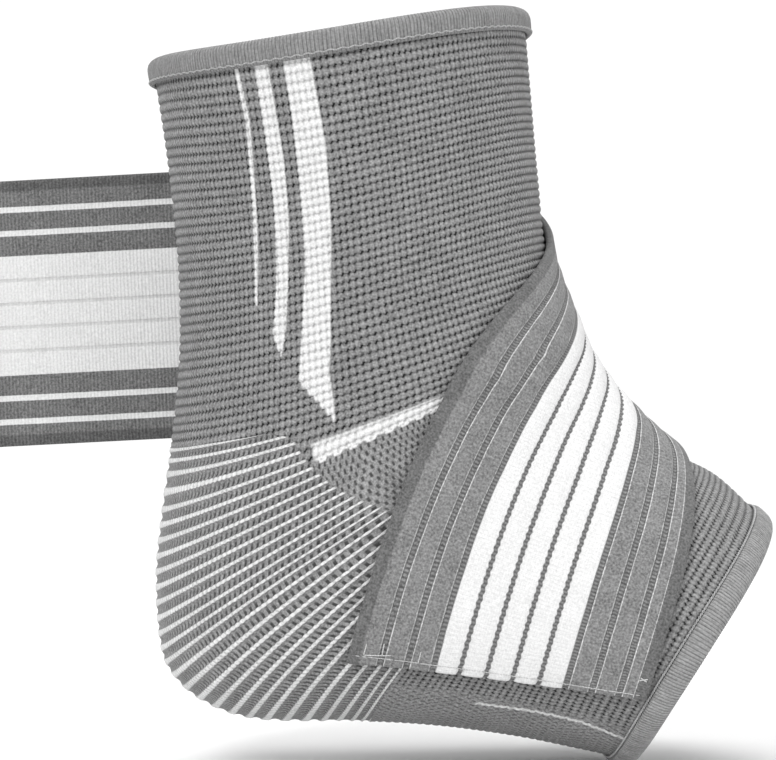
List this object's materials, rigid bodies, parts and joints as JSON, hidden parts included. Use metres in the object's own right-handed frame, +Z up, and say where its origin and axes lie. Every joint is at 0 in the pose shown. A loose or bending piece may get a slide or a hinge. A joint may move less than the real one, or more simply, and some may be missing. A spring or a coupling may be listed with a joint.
{
  "type": "ankle brace with wrap strap",
  "caption": "Knitted elastic ankle sleeve with an open toe, a shaped heel, bound rims and a wide striped strap wrapped over the instep to a hook tab.",
  "frame": {"origin": "centre of the ankle, where the leg and the foot that wear the sleeve meet", "axes": "+Z up the leg, +X towards the toes, -Y the side on which the strap is sewn"},
  "size_m": [0.2342, 0.0879, 0.187],
  "materials": {
    "knit": "ribbed elastic knit, matt",
    "top_tape": "ribbed elastic tape, matt",
    "toe_tape": "overlocked elastic tape, matt",
    "strap_webbing": "striped woven elastic, matt",
    "hook_pile": "moulded hook field, matt"
  },
  "bodies": {
    "root": {"sleeve": "knit", "top_binding": "top_tape", "toe_binding": "toe_tape", "wrap_strap": "strap_webbing", "hook_tab": "hook_pile"}
  },
  "joints": []
}
